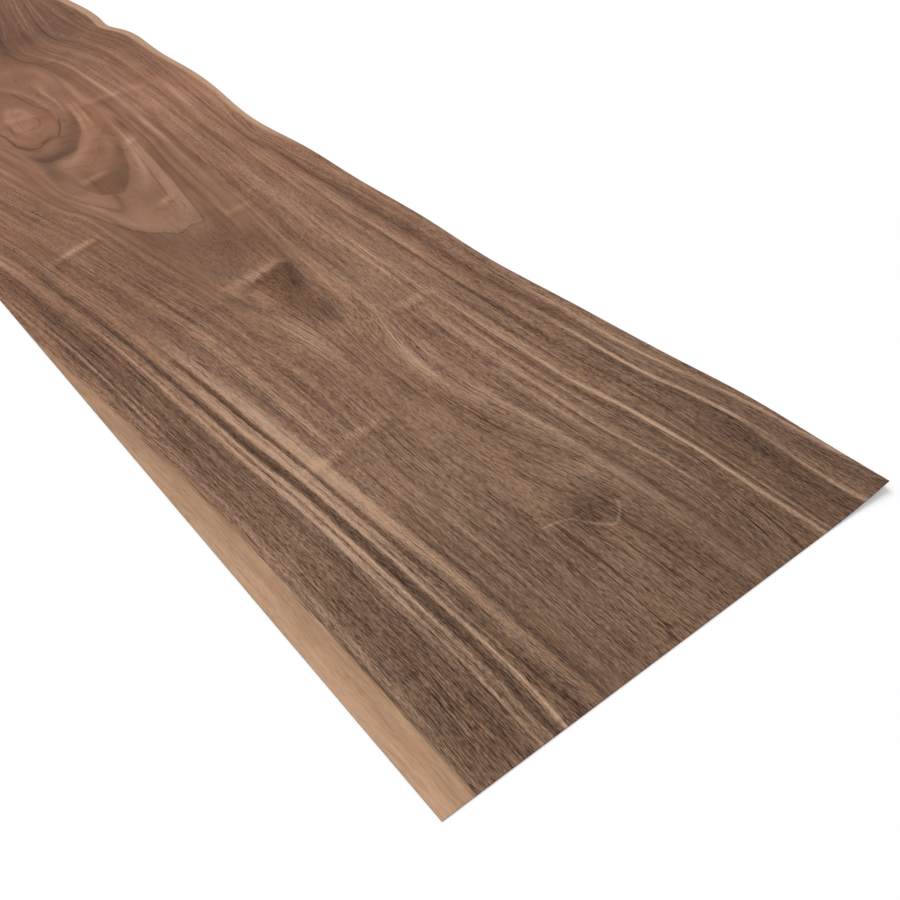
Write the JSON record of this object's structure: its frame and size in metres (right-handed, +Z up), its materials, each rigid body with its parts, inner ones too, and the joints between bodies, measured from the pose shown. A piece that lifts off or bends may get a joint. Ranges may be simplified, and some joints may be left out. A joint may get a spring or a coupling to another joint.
{
  "type": "wood veneer sheet",
  "caption": "Thin flat leaf of sliced walnut veneer with a straight-cut long edge facing a wavy live edge, square-cut ends and a curled corner, for gluing onto a panel.",
  "frame": {"origin": "centre of the leaf's overall width and length, on its flat back face", "axes": "+Z up through the leaf to its show face, +Y along the grain from the pictured near end to the far end, +X across the grain from the straight-cut edge to the wavy live edge"},
  "size_m": [0.305, 1.25, 0.0051],
  "materials": {
    "walnut": "matte"
  },
  "bodies": {
    "root": {"veneer_leaf": "walnut"}
  },
  "joints": []
}
